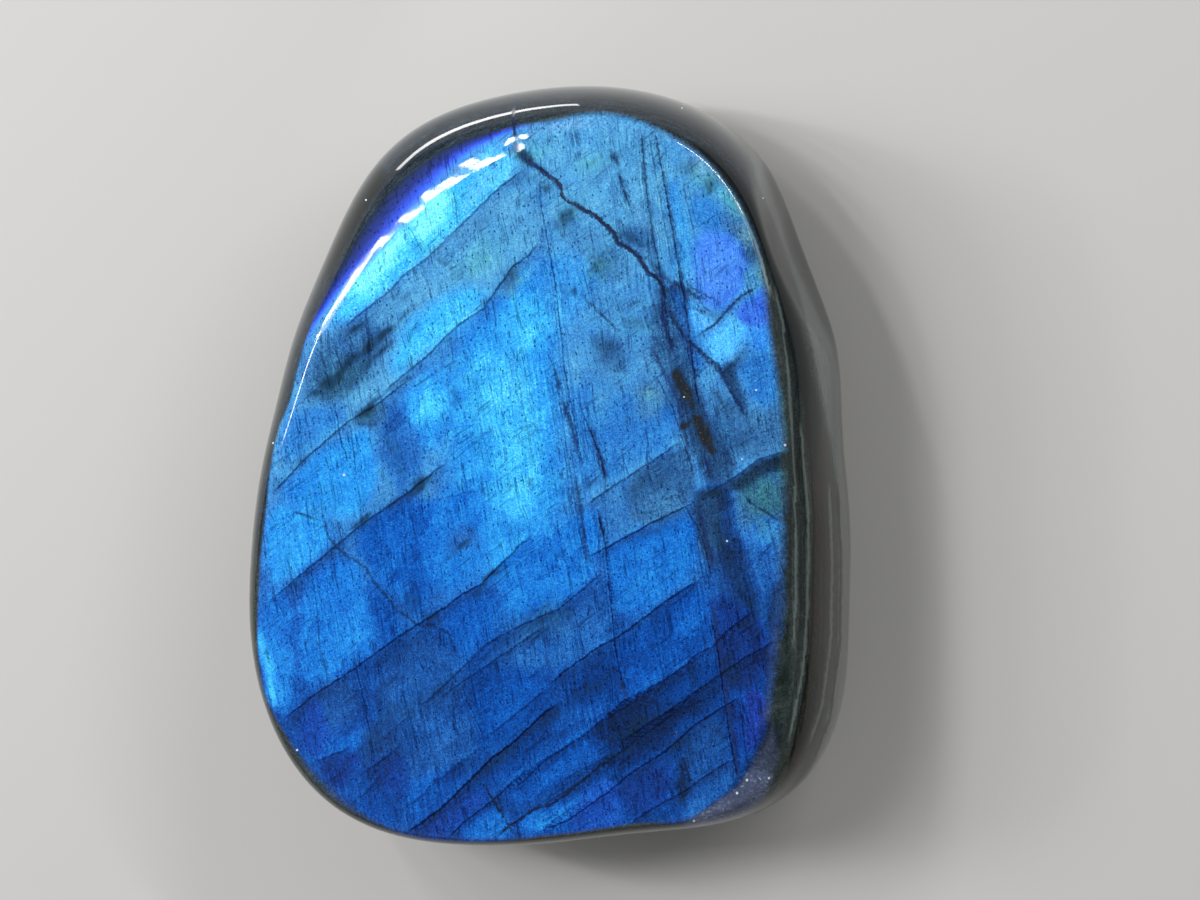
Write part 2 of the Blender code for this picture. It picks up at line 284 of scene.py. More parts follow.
# A zone is how strongly it flashes, its tint, how soft its edge is, in pixels, and its outline in the
# view. They are laid over each other in this order, on a base that goes from far to near.
FAR_BASE = (0.68, 0.7, 0)
NEAR_BASE = (0.34, 0.2, 0)
BASE_CHANGES = (420, 700)  # between these heights in the view
ZONES = [
    # the far end, greyer
    (LIGHT, SLATE, 22, [(530, 118), (640, 120), (690, 165), (690, 235), (640, 262), (560, 235), (520, 180)]),
    (CLEAR, SLATE, 9, [(560, 205), (600, 232), (640, 268), (628, 290), (584, 262), (556, 232)]),
    (LIGHT, SLATE, 16, [(470, 205), (530, 172), (545, 235), (500, 280), (455, 290), (440, 262)]),
    # the bright band inside the far left shoulder, whitened beside the left highlight by painted glare
    (BRIGHT, CLEAN, 8, [(318, 345), (345, 295), (395, 232), (455, 176), (500, 142), (517, 172), (454, 233),
     (352, 320)]),
    (GLOWING_WITH_PAINTED_GLARE, CLEAN, 12, [(346, 292), (372, 250), (400, 222), (414, 226), (404, 256), (366, 294)]),
    (GLOWING_WITH_PAINTED_GLARE, CLEAN, 11, [(406, 212), (436, 190), (456, 194), (444, 222), (416, 238)]),
    (BRIGHT, DULLED, 12, [(478, 160), (503, 143), (515, 165), (480, 203), (455, 215)]),
    # between the first two long twin lines
    (LIGHT, SLATE, 8, [(345, 330), (426, 261), (526, 169), (543, 238), (512, 267), (470, 317), (428, 356),
     (385, 393), (345, 410), (320, 370)]),
    (BRIGHT, CLEAN, 14, [(385, 365), (405, 325), (440, 293), (484, 285), (480, 310), (402, 378)]),
    (MIDDLE, SLATE, 14, [(298, 360), (322, 326), (380, 322), (392, 350), (345, 402), (303, 412)]),
    (DIM, SLATE, 9, [(310, 390), (358, 342), (384, 326), (396, 336), (328, 404)]),
    (LIGHT, DULLED, 14, [(548, 250), (590, 262), (592, 300), (565, 330), (552, 300)]),
    # the bright middle
    (LIGHT, CLEAN, 24, [(440, 350), (545, 245), (556, 330), (570, 560), (500, 598), (455, 520), (440, 430)]),
    (BRIGHT, CLEAN, 22, [(465, 350), (520, 345), (538, 400), (540, 470), (515, 505), (480, 440)]),
    (BRIGHT, CLEAN, 16, [(505, 302), (540, 290), (548, 340), (520, 360), (500, 340)]),
    (CLEAR, SLATE, 9, [(500, 270), (514, 262), (520, 284), (503, 297)]),
    (LIGHT, CLEAN, 14, [(395, 400), (440, 362), (455, 400), (440, 450), (405, 455)]),
    (BRIGHT, CLEAN, 13, [(408, 395), (435, 378), (445, 410), (415, 430)]),
    (MIDDLE, DULLED, 12, [(375, 408), (402, 396), (410, 440), (405, 470), (388, 482)]),
    (MIDDLE, SLATE, 9, [(352, 412), (378, 400), (388, 414), (374, 430), (356, 428)]),
    (MIDDLE, DULLED, 10, [(394, 432), (418, 424), (424, 480), (412, 512), (396, 500)]),
    (BRIGHT, CLEAN, 14, [(500, 480), (535, 470), (540, 500), (520, 520), (500, 510)]),
    # the left side
    (CLEAR, DULLED, 9, [(285, 415), (330, 398), (345, 418), (310, 455), (278, 470)]),
    (LIGHT, CLEAN, 10, [(300, 470), (340, 434), (372, 424), (382, 480), (352, 522), (300, 505), (280, 490)]),
    (LIGHT, CLEAN, 9, [(268, 500), (320, 505), (332, 545), (300, 572), (266, 590)]),
    (CLEAR, CLEAN, 10, [(262, 600), (292, 586), (296, 705), (280, 720), (262, 672)]),
    (BRIGHT, CLEAN, 6, [(259, 622), (268, 632), (280, 712), (270, 700), (262, 672)]),
    (CLEAR, CLEAN, 9, [(295, 582), (350, 552), (372, 600), (380, 645), (345, 672), (300, 700)]),
    (MIDDLE, CLEAN, 10, [(350, 535), (402, 500), (445, 500), (450, 560), (420, 612), (380, 590)]),
    (DIM, CLEAN, 8, [(366, 575), (395, 606), (402, 632), (382, 646)]),
    (DIM, CLEAN, 8, [(403, 545), (424, 555), (428, 612), (412, 614), (404, 590)]),
    (CLEAR, CLEAN, 14, [(430, 490), (485, 485), (490, 570), (440, 600), (430, 560)]),
    (MIDDLE, DULLED, 12, [(450, 535), (466, 524), (480, 540), (462, 554), (448, 552)]),
    # below the long line across the middle
    (CLEAR, CLEAN, 14, [(500, 575), (540, 535), (600, 500), (605, 570), (560, 608), (500, 620)]),
    (MIDDLE, DULLED, 16, [(495, 640), (560, 612), (600, 600), (610, 640), (560, 672), (500, 690)]),
    (MIDDLE, CLEAN, 14, [(440, 612), (500, 585), (500, 630), (470, 655), (446, 640)]),
    (DIM, DULLED, 12, [(375, 665), (430, 625), (470, 680), (470, 700), (420, 740), (380, 745)]),
    (DIM, CLEAN, 14, [(470, 670), (560, 672), (530, 725), (490, 755), (470, 715)]),
    (DIM, DULLED, 12, [(400, 745), (465, 705), (485, 750), (440, 778), (400, 790)]),
    (DIM, DULLED, 9, [(316, 685), (345, 676), (358, 684), (358, 715), (330, 735), (314, 715)]),
    (DIM, INKY, 6, [(298, 712), (316, 700), (334, 735), (330, 755), (308, 758)]),
    (MIDDLE, CLEAN, 5, [(322, 742), (372, 722), (372, 742), (324, 756)]),
    (DARK, INKY, 5, [(310, 764), (368, 745), (350, 780), (336, 792)]),
    (DARK, DULLED, 11, [(362, 725), (396, 715), (404, 750), (372, 768), (362, 750)]),
    (DARK, INKY, 10, [(372, 765), (405, 752), (404, 800), (380, 790)]),
    (DIM, CLEAN, 10, [(405, 785), (450, 765), (470, 780), (420, 822), (400, 815)]),
    (DIM, CLEAN, 8, [(352, 806), (384, 780), (400, 830), (375, 822)]),
    # the near end, in strips along the twin lines
    (DIM, CLEAN, 8, [(462, 790), (535, 722), (545, 745), (515, 775), (475, 800)]),
    (DIM, INKY, 5, [(412, 834), (462, 794), (500, 790), (445, 840)]),
    (CLEAR, CLEAN, 6, [(450, 840), (482, 812), (500, 806), (515, 838)]),
    (MIDDLE, CLEAN, 10, [(500, 790), (560, 745), (600, 722), (600, 750), (550, 790), (515, 810)]),
    (CLEAR, CLEAN, 7, [(515, 830), (535, 812), (600, 790), (600, 825), (540, 836)]),
    (MIDDLE, INKY, 7, [(575, 800), (618, 770), (625, 820), (596, 830), (570, 830)]),
    # right of the middle
    (CLEAR, DULLED, 14, [(600, 400), (680, 390), (680, 440), (606, 488), (590, 440)]),
    (CLEAR, SLATE, 12, [(636, 380), (662, 380), (668, 412), (640, 418)]),
    (MIDDLE, SLATE, 6, [(626, 482), (682, 443), (694, 470), (698, 500), (632, 530)]),
    (CLEAR, CLEAN, 10, [(606, 552), (640, 532), (700, 510), (704, 572), (640, 612), (612, 610)]),
    (CLEAR, DULLED, 9, [(560, 390), (600, 380), (600, 480), (580, 500), (572, 440)]),
    (CLEAR, SLATE, 14, [(640, 340), (665, 350), (670, 390), (640, 385)]),
    (MIDDLE, SLATE, 12, [(590, 335), (625, 330), (628, 368), (600, 372)]),
    # the far right, between the long crack and the edge
    (LIGHT, DULLED, 9, [(664, 175), (682, 180), (692, 262), (680, 290), (668, 230)]),
    (CLEAR, DULLED, 6, [(687, 196), (722, 196), (728, 226), (700, 232), (690, 222)]),
    (MIDDLE, SLATE, 8, [(722, 205), (742, 218), (764, 275), (748, 280), (732, 246)]),
    (LIGHT, PURPLE, 10, [(694, 240), (712, 230), (738, 236), (748, 270), (745, 290), (720, 312), (694, 292)]),
    (LIGHT, SLATE, 6, [(742, 270), (764, 264), (768, 282), (750, 290)]),
    (BRIGHT, INKY, 4, [(690, 296), (716, 322), (704, 334), (694, 336), (688, 312)]),
    (BRIGHT, INKY, 8, [(702, 342), (722, 322), (745, 312), (750, 338), (724, 364), (708, 358)]),
    (CLEAR, PURPLE, 6, [(732, 308), (764, 286), (774, 300), (774, 326), (750, 326), (738, 320)]),
    (LIGHT, INKY, 8, [(745, 326), (775, 324), (778, 352), (750, 352)]),
    (CLEAR, DULLED, 7, [(738, 368), (752, 352), (780, 352), (784, 400), (762, 408), (748, 392)]),
    (DARK, SLATE, 5, [(718, 370), (736, 362), (738, 384), (750, 402), (744, 414)]),
    (MIDDLE, SLATE, 9, [(632, 226), (652, 232), (656, 262), (646, 258), (618, 234)]),
    (DARK, SLATE, 5, [(662, 284), (684, 286), (688, 312), (680, 322), (668, 316)]),
    (MIDDLE, DULLED, 9, [(662, 290), (684, 290), (695, 345), (708, 372), (690, 372), (670, 325)]),
    (MIDDLE, SLATE, 9, [(705, 375), (748, 412), (782, 400), (784, 448), (745, 466), (712, 430)]),
    # the dark fissure down the right, and the blocks beside it
    (DIM, SLATE, 9, [(646, 300), (664, 288), (684, 330), (694, 372), (706, 404), (722, 432), (738, 474),
     (712, 488), (696, 462), (656, 360)]),
    (DARK, SLATE, 5, [(676, 392), (700, 404), (716, 436), (724, 470), (704, 474), (690, 440)]),
    (DEEP, SLATE, 7, [(668, 372), (684, 372), (720, 450), (708, 456), (680, 404)]),
    (DARK, SLATE, 9, [(700, 425), (725, 430), (738, 475), (712, 485), (700, 450)]),
    (DEEP, DULLED, 10, [(698, 500), (714, 484), (728, 490), (740, 530), (744, 560), (718, 560)]),
    (DARK, SLATE, 8, [(690, 502), (712, 488), (722, 500), (728, 566), (712, 570), (698, 536)]),
    (DEEP, DULLED, 10, [(712, 548), (742, 550), (764, 605), (752, 622), (724, 596)]),
    (MIDDLE, SLATE, 5, [(735, 484), (748, 472), (790, 452), (790, 520), (756, 540), (742, 525)]),
    (DEEP, SLATE, 5, [(726, 486), (746, 471), (790, 448), (790, 468), (760, 478), (738, 492)]),
    (CLEAR, DULLED, 8, [(740, 520), (780, 515), (778, 550), (756, 560)]),
    (DIM, DULLED, 8, [(750, 552), (778, 545), (774, 590), (762, 590)]),
    (DEEP, DULLED, 8, [(765, 592), (780, 585), (778, 640), (768, 640)]),
    # the near right
    (DIM, CLEAN, 7, [(626, 634), (703, 581), (715, 640), (645, 690), (618, 690), (614, 650)]),
    (MIDDLE, CLEAN, 12, [(672, 602), (703, 584), (708, 625), (680, 640)]),
    (DARK, CLEAN, 14, [(576, 672), (610, 648), (620, 696), (570, 712)]),
    (DEEP, INKY, 10, [(715, 590), (760, 620), (775, 650), (760, 690), (724, 695), (716, 640)]),
    (DARK, INKY, 7, [(728, 625), (745, 632), (750, 655), (736, 660)]),
    (DARK, PURPLE, 6, [(742, 696), (762, 690), (766, 720), (758, 745), (746, 750)]),
    (DARK, INKY, 5, [(726, 700), (742, 700), (744, 755), (736, 755)]),
    (DARK, CLEAN, 9, [(648, 690), (715, 650), (720, 700), (690, 722), (670, 712)]),
    (DEEP, CLEAN, 14, [(596, 722), (640, 695), (680, 704), (680, 735), (640, 765), (610, 775)]),
    (DIM, DULLED, 8, [(682, 742), (722, 706), (736, 785), (690, 802), (684, 775)]),
    (MIDDLE, DULLED, 8, [(700, 790), (734, 765), (738, 785), (690, 822), (682, 812)]),
    (DEEP, DULLED, 6, [(672, 762), (690, 756), (692, 800), (680, 806)]),
    (DARK, INKY, 8, [(620, 782), (668, 758), (672, 800), (630, 820), (622, 805)]),
]


def covered(at, outline, width):
    """How far places lie inside an outline: from 0 to 1, easing over a width across its line."""
    return eased(inside(at, outline) / width + 0.5)


def painted(at, base, zones):
    """Zones laid over a base in order, each an even mix with what is under it where its edge is soft."""
    layers = base.copy()
    for values, softness, outline in zones:
        margin = 2 * softness
        low, high = np.min(outline, axis=0) - margin, np.max(outline, axis=0) + margin
        near = np.flatnonzero(((at > low) & (at < high)).all(axis=1))
        cover = covered(at[near], rounded(outline, 1), 1.7 * softness)[:, None]
        layers[near] += (np.array(values) - layers[near]) * cover
    return layers


changed = eased((place[:, 1] - BASE_CHANGES[0]) / (BASE_CHANGES[1] - BASE_CHANGES[0]))[:, None]
base = FAR_BASE + (np.array(NEAR_BASE) - FAR_BASE) * changed
blocks = painted(wandering(place, reach=2.0, wavelength=70, seed=1), base, [
    ((strength, *tint), softness, outline) for strength, tint, softness, outline in ZONES
])

# Fine lines in the stone, as routes in pixels of the view, each with its strength first. Twin lines run
# up to the right, and the block below one is darker where it meets it. Cleavage lines run steeply
# across them. Cracks reach the surface, and are open a hair's breadth. Veins are wider and stay inside.
TWIN_LINES = [
    (0.8, (343, 328), (393, 288), (402, 276), (426, 259), (500, 187), (527, 167)),
    (0.9, (381, 394), (427, 356), (458, 325), (483, 309), (512, 267), (529, 255), (542, 239)),
    (0.9, (270, 496), (308, 456), (337, 431), (349, 421), (378, 404), (412, 377)),
    (0.9, (264, 606), (356, 529), (414, 488), (449, 460)),
    (1.0, (279, 723), (313, 696), (356, 668), (398, 637), (447, 606), (462, 594), (480, 585), (534, 532)),
    (0.8, (415, 710), (429, 700), (488, 643), (528, 622), (559, 609), (605, 570)),
    (0.7, (436, 700), (548, 624)),
    (0.7, (482, 742), (550, 686)),
    (0.7, (440, 777), (487, 743)),
    (0.8, (530, 768), (570, 744), (699, 657)),
    (0.7, (530, 812), (570, 789), (699, 695)),
    (0.9, (582, 509), (594, 499), (682, 441)),
    (1.0, (584, 560), (653, 522), (696, 502)),
    (1.0, (548, 687), (562, 673), (600, 646), (618, 637), (675, 595), (704, 578)),
    (0.7, (702, 497), (738, 475), (759, 459), (790, 450)),
    (0.6, (472, 440), (497, 427)),
    (0.4, (435, 500), (493, 486)),
    (0.5, (583, 189), (616, 160)),
    (0.5, (592, 264), (615, 241)),
    (0.5, (704, 332), (694, 337)),
    (0.9, (510, 793), (548, 758), (587, 733), (625, 700), (645, 691), (679, 670), (695, 656), (714, 645),
     (728, 630), (759, 607)),
    (0.9, (617, 744), (664, 714), (741, 660), (779, 639)),
    (1.0, (535, 833), (568, 820), (618, 785), (625, 777), (664, 752), (695, 725), (727, 704), (745, 696)),
    (0.5, (676, 712), (716, 694)),
    (0.5, (545, 795), (568, 777), (617, 752)),
    (0.8, (623, 831), (635, 820), (660, 804), (679, 795), (714, 770), (735, 758)),
    (0.6, (535, 837), (550, 823), (587, 797)),
    (1.5, (404, 835), (442, 808), (492, 758), (510, 745), (545, 712), (560, 702)),
    (1.0, (446, 841), (463, 823), (496, 798), (530, 766)),
    (0.6, (404, 810), (423, 795), (437, 779), (458, 768), (477, 752)),
    (0.8, (358, 777), (396, 750), (404, 741)),
    (0.6, (350, 804), (365, 793), (385, 771)),
    (0.8, (310, 764), (356, 746)),
    (0.4, (720, 376), (742, 352)),
    (0.4, (640, 470), (650, 462), (660, 458)),
]
CLEAVAGE_LINES = [
    (0.8, (539, 172), (541, 205), (556, 289), (565, 372), (584, 474)),
    (0.7, (615, 166), (635, 222)),
    (0.7, (640, 124), (650, 220), (658, 258), (672, 352)),
    (0.8, (654, 124), (687, 316), (696, 390), (702, 413)),
    (0.6, (648, 130), (673, 270)),
    (0.6, (681, 178), (696, 240)),
    (0.5, (408, 225), (427, 260)),
    (0.5, (447, 289), (461, 312)),
    (0.6, (483, 302), (489, 322)),
    (0.5, (449, 333), (456, 377)),
    (0.5, (518, 340), (536, 419)),
    (0.6, (553, 359), (579, 528), (588, 572)),
    (0.8, (578, 401), (600, 455), (607, 488)),
    (0.5, (592, 409), (600, 424)),
    (0.6, (550, 457), (558, 500)),
    (0.9, (597, 507), (605, 543), (615, 645), (624, 693)),
    (0.5, (611, 493), (615, 516)),
    (0.5, (630, 485), (635, 500)),
    (0.7, (653, 370), (673, 409), (692, 470), (684, 480)),
    (0.6, (675, 482), (680, 499), (698, 528), (704, 545), (709, 566), (711, 590)),
    (0.6, (703, 451), (712, 484)),
    (0.7, (728, 434), (738, 470)),
    (0.4, (755, 430), (758, 442)),
    (0.4, (771, 426), (775, 440)),
    (0.5, (624, 547), (630, 572)),
    (0.7, (303, 404), (313, 452)),
    (0.8, (331, 398), (337, 417), (340, 438), (350, 468)),
    (0.8, (350, 423), (357, 478)),
    (0.6, (309, 553), (317, 606), (321, 662), (327, 676)),
    (0.5, (287, 548), (293, 602)),
    (0.6, (410, 508), (417, 546)),
    (0.5, (373, 621), (379, 641)),
    (0.8, (354, 655), (372, 742)),
    (0.6, (327, 762), (333, 775), (337, 794)),
    (0.5, (391, 796), (400, 832)),
    (0.4, (404, 789), (411, 824)),
    (0.6, (461, 681), (467, 702), (479, 725), (490, 762)),
    (0.9, (710, 614), (716, 639), (731, 745), (739, 785)),
    (0.6, (716, 610), (727, 655)),
    (0.6, (727, 629), (735, 664)),
    (0.5, (748, 639), (752, 655)),
    (0.8, (740, 700), (746, 757)),
    (0.6, (612, 756), (624, 818)),
    (0.5, (675, 764), (679, 802)),
    (0.45, (603, 472), (610, 572), (621, 637)),
    (0.4, (467, 343), (481, 429), (492, 472)),
    (0.45, (513, 350), (535, 472)),
    (0.4, (357, 478), (363, 529)),
    (0.4, (309, 479), (317, 556)),
    (0.5, (373, 501), (402, 658)),
    (0.5, (460, 630), (496, 788)),
    (0.5, (689, 529), (709, 680)),
    (0.4, (632, 529), (639, 601)),
    (0.45, (287, 659), (309, 759)),
    (0.45, (402, 687), (424, 773)),
    (0.4, (538, 687), (553, 759)),
    (0.4, (654, 628), (668, 700)),
    (0.4, (575, 612), (586, 676)),
    (0.4, (498, 596), (512, 672)),
]
CRACKS = [
    (1.0, (518, 93), (514, 106), (513, 120), (516, 146)),
    (1.0, (533, 165), (554, 178), (560, 184), (562, 195), (566, 201), (594, 214), (610, 228), (615, 234),
     (616, 240), (641, 258), (644, 268), (660, 280), (664, 290), (666, 305)),
    (0.6, (288, 509), (323, 522)),
    (0.5, (322, 510), (328, 536), (333, 544), (347, 556), (366, 567), (370, 577), (397, 610), (418, 625),
     (433, 625), (449, 634), (458, 660)),
    (0.8, (483, 783), (517, 839)),
    (0.8, (494, 840), (508, 827), (533, 810), (548, 806), (564, 796), (602, 764), (618, 760)),
    (0.6, (762, 283), (738, 299), (715, 324), (694, 338)),
    (0.6, (683, 280), (694, 289), (720, 303)),
    (0.5, (692, 297), (704, 306), (717, 320)),
    (0.5, (665, 310), (687, 340), (719, 366), (730, 390), (750, 422)),
    (0.5, (579, 289), (585, 299), (615, 328), (624, 334)),
    (0.4, (529, 283), (540, 298)),
    (0.6, (741, 488), (748, 501), (782, 522)),
    (0.4, (636, 391), (650, 389), (659, 394)),
    (0.4, (540, 514), (552, 521)),
    (0.4, (619, 365), (628, 375)),
    (0.4, (707, 384), (719, 397), (729, 417)),
]
VEINS = [
    (0.5, (645, 128), (643, 145), (645, 182), (661, 282)),
    (0.35, (652, 126), (663, 172)),
    (0.6, (661, 160), (684, 292), (690, 352), (701, 412)),
    (0.8, (604, 150), (612, 152), (618, 166), (617, 174)),
    (0.7, (616, 166), (632, 212)),
    (1.0, (566, 199), (600, 219), (615, 236), (617, 242), (638, 254), (648, 273), (658, 277), (663, 288),
     (663, 314), (666, 330), (676, 358)),
    (0.7, (655, 262), (660, 276), (696, 296), (712, 301)),
    (0.7, (664, 300), (680, 330), (708, 361), (718, 368), (747, 418)),
    (0.6, (684, 302), (714, 319)),
    (0.5, (715, 322), (744, 295), (758, 286)),
    (0.5, (700, 336), (715, 322)),
    (0.6, (648, 340), (678, 402), (692, 472)),
    (0.7, (703, 448), (713, 486)),
    (0.5, (707, 448), (714, 472)),
    (0.6, (720, 440), (738, 474)),
    (0.5, (676, 478), (690, 512)),
    (0.7, (697, 498), (711, 560), (712, 580)),
    (0.8, (588, 420), (602, 462), (607, 488)),
    (0.7, (560, 392), (572, 428), (580, 462)),
    (0.6, (552, 362), (563, 398)),
    (0.6, (573, 470), (578, 492), (588, 570)),
    (0.7, (598, 506), (605, 544)),
    (0.5, (514, 92), (517, 148)),
    (0.9, (517, 148), (524, 158), (556, 181), (562, 194)),
    (0.6, (618, 668), (626, 706)),
    (0.7, (712, 600), (739, 784)),
]
LINE_REACH = 7.5  # pixels on each side of a line in which its distance is kept
TAPER = 14.0  # pixels in which a line fades out at each end
SHADE_REACH = 50  # pixels round a line in which its shade is kept
BELOW_TWIN = (0.14, 16.0)  # how much darker a block is below a twin line, and its reach in pixels
ABOVE_TWIN = (0.07, 8.0)  # how much lighter above


def traced(at, routes):
    """The nearest route to each point, as cosine, sine and strength, and the shade beside the routes.

    Cosine and sine are of the distance across the route, over LINE_REACH, times pi: positive below a
    route that runs to the right. Strength tapers towards both ends of a route. The shade falls off as
    e to the power of minus the distance over a reach, on each side.
    """
    nearest = np.full(len(at), LINE_REACH)
    across = np.full(len(at), LINE_REACH)
    strength = np.zeros(len(at))
    shade = np.zeros(len(at))
    for weight, *route in routes:
        route = np.array(route, float)
        sides = np.diff(route, axis=0)
        lengths = np.hypot(*sides.T)
        travelled = np.concatenate([[0], np.cumsum(lengths)])
        low, high = route.min(axis=0) - SHADE_REACH, route.max(axis=0) + SHADE_REACH
        near = np.flatnonzero(((at > low) & (at < high)).all(axis=1))
        own = np.full(len(near), np.inf)
        own_across = np.full(len(near), np.inf)
        own_taper = np.zeros(len(near))
        for start, side, length, before in zip(route, sides, lengths, travelled):
            offset = at[near] - start
            along = np.clip(offset @ side / length ** 2, 0, 1)
            distance = np.hypot(*(offset - along[:, None] * side).T)
            closer = distance < own
            own[closer] = distance[closer]
            turn = np.sign(side[0] * offset[:, 1] - side[1] * offset[:, 0])
            own_across[closer] = (distance * turn)[closer]
            here = before + along * length
            own_taper[closer] = np.clip(np.minimum(here, travelled[-1] - here) / TAPER, 0, 1)[closer]
        closer = own < nearest[near]
        nearest[near[closer]] = own[closer]
        across[near[closer]] = own_across[closer]
        strength[near[closer]] = (weight * own_taper)[closer]
        below = BELOW_TWIN[0] * np.exp(-own / BELOW_TWIN[1]) * (own_across > 0)
        above = ABOVE_TWIN[0] * np.exp(-own / ABOVE_TWIN[1]) * (own_across < 0)
        shade[near] += weight * own_taper * (above - below)
    turn = math.pi * np.clip(across / LINE_REACH, -1, 1)
    return np.stack([np.cos(turn), np.sin(turn), strength], axis=1), shade, nearest


twins, twin_shade, _ = traced(place, TWIN_LINES)
cleavage, _, _ = traced(place, CLEAVAGE_LINES)
cracks, _, crack_distance = traced(place, CRACKS)
veins, _, _ = traced(place, VEINS)
blocks[:, 0] += twin_shade

# Clouds in the face, as x, y, half length, half width, heading in degrees and weight, in the view.
# Smudges are dark and lie mostly under the twin lines. Streaks are bundles of fine steep lines. Green and
# pale clouds only tint the blue.
SMUDGES = [
    (356, 328, 9, 4, 40, 0.9), (385, 332, 16, 3.5, 42, 1.0), (404, 315, 9, 3.5, 40, 0.8),
    (413, 305, 5, 3, 40, 0.6), (368, 348, 12, 5, 42, 1.1), (350, 362, 16, 4, 42, 1.1),
    (328, 384, 12, 8, 30, 1.1), (340, 374, 12, 5, 42, 1.0), (382, 350, 14, 3, 42, 0.9),
    (366, 364, 12, 5, 42, 0.7), (352, 384, 18, 7, 42, 0.6), (318, 392, 10, 4, 20, 0.8),
    (420, 326, 14, 2.5, 42, 0.5), (408, 296, 12, 2.5, 42, 0.5), (420, 250, 10, 5, -60, 0.5),
    (442, 262, 12, 3, -40, 0.5), (366, 412, 13, 5, 24, 1.1), (372, 404, 12, 3, 40, 0.8),
    (366, 424, 14, 4, 10, 0.7), (404, 380, 16, 3, 38, 0.5), (395, 450, 24, 10, -75, 0.45),
    (421, 485, 13, 5, 40, 1.0), (412, 494, 10, 4, 38, 0.8), (404, 470, 6, 10, 0, 0.5),
    (392, 503, 14, 5, 38, 0.6), (362, 520, 12, 4, 38, 0.9), (354, 526, 8, 3, 38, 0.8),
    (460, 546, 14, 4, 30, 0.8), (472, 532, 10, 3, -60, 0.6), (450, 556, 10, 4, 38, 0.6),
    (455, 397, 12, 6, -70, 0.5), (492, 574, 16, 4, 38, 0.9), (478, 590, 14, 6, 38, 0.5),
    (412, 602, 24, 12, -80, 0.5), (430, 618, 16, 8, 0, 0.7), (300, 462, 16, 7, 40, 0.5),
    (276, 484, 10, 7, 40, 0.5), (330, 548, 14, 6, 38, 0.5), (524, 156, 14, 7, -45, 1.2),
    (540, 168, 14, 4, -45, 0.9), (546, 188, 8, 5, -40, 0.8), (567, 217, 18, 9, 45, 0.75),
    (628, 236, 22, 8, -30, 0.6), (655, 267, 14, 5, -45, 0.8), (672, 290, 24, 4, -5, 0.7),
    (597, 268, 22, 12, 60, 0.5), (604, 346, 18, 12, -40, 0.55), (640, 322, 22, 13, 10, 0.5),
    (572, 292, 14, 8, 0, 0.45), (592, 164, 16, 9, 20, 0.4), (616, 156, 14, 8, 0, 0.5),
    (688, 167, 12, 8, 20, 0.6), (713, 184, 13, 8, 45, 0.7), (752, 256, 16, 8, 30, 0.6),
    (736, 362, 18, 6, 35, 0.6), (508, 278, 20, 9, 50, 0.5), (484, 222, 14, 8, 45, 0.4),
    (462, 276, 16, 8, -45, 0.35), (530, 178, 16, 8, 0, 0.5), (448, 338, 10, 5, 40, 0.5),
    (482, 300, 12, 5, -70, 0.5), (404, 368, 12, 5, 40, 0.5), (622, 366, 12, 8, 40, 0.5),
    (706, 436, 22, 8, -60, 0.8), (682, 384, 22, 6, -65, 0.8), (684, 424, 6, 5, 0, 0.8),
    (668, 400, 14, 6, -75, 0.5), (714, 492, 22, 6, 20, 0.8), (722, 540, 36, 7, -72, 0.6),
    (744, 590, 30, 6, -66, 0.5), (752, 622, 22, 6, 30, 0.5), (592, 482, 20, 6, 35, 0.5),
    (642, 486, 26, 9, 30, 0.4), (652, 532, 26, 8, 28, 0.5), (742, 446, 18, 10, 30, 0.4),
    (728, 406, 20, 8, -55, 0.4), (776, 462, 14, 4, 25, 0.9), (546, 618, 34, 18, 25, 0.55),
    (500, 650, 18, 9, 30, 0.4), (588, 690, 26, 8, 32, 0.5), (636, 726, 36, 6, 34, 0.7),
    (620, 752, 30, 5, 34, 0.6), (680, 742, 16, 9, 40, 0.7), (676, 786, 14, 7, 85, 0.5),
    (396, 714, 26, 12, 30, 0.5), (438, 690, 30, 9, 38, 0.45), (372, 740, 18, 12, 60, 0.4),
    (730, 672, 26, 14, -80, 0.5), (500, 756, 34, 9, 42, 0.6), (552, 718, 26, 8, 38, 0.5),
    (560, 790, 26, 6, 40, 0.35),
]
STREAKS = [
    (575, 420, 120, 17, -80, 1.0), (658, 220, 110, 22, -78, 1.0), (690, 420, 90, 16, -72, 0.8),
    (704, 545, 60, 12, -76, 0.9), (412, 575, 46, 12, -83, 1.0), (345, 440, 36, 14, -76, 0.7),
    (330, 372, 26, 26, -70, 0.7), (736, 650, 76, 15, -80, 0.9), (600, 540, 56, 12, -82, 0.9),
    (538, 380, 66, 14, -80, 0.8), (456, 320, 56, 22, -72, 0.6), (428, 430, 50, 18, -78, 0.6),
    (370, 690, 60, 24, -78, 0.6), (300, 590, 80, 14, -84, 0.7), (330, 780, 30, 12, -70, 0.8),
    (480, 730, 60, 14, -76, 0.5), (560, 300, 60, 12, -78, 0.7), (640, 620, 50, 30, -80, 0.4),
    (400, 800, 34, 14, -76, 0.7), (720, 560, 60, 26, -68, 0.6),
]
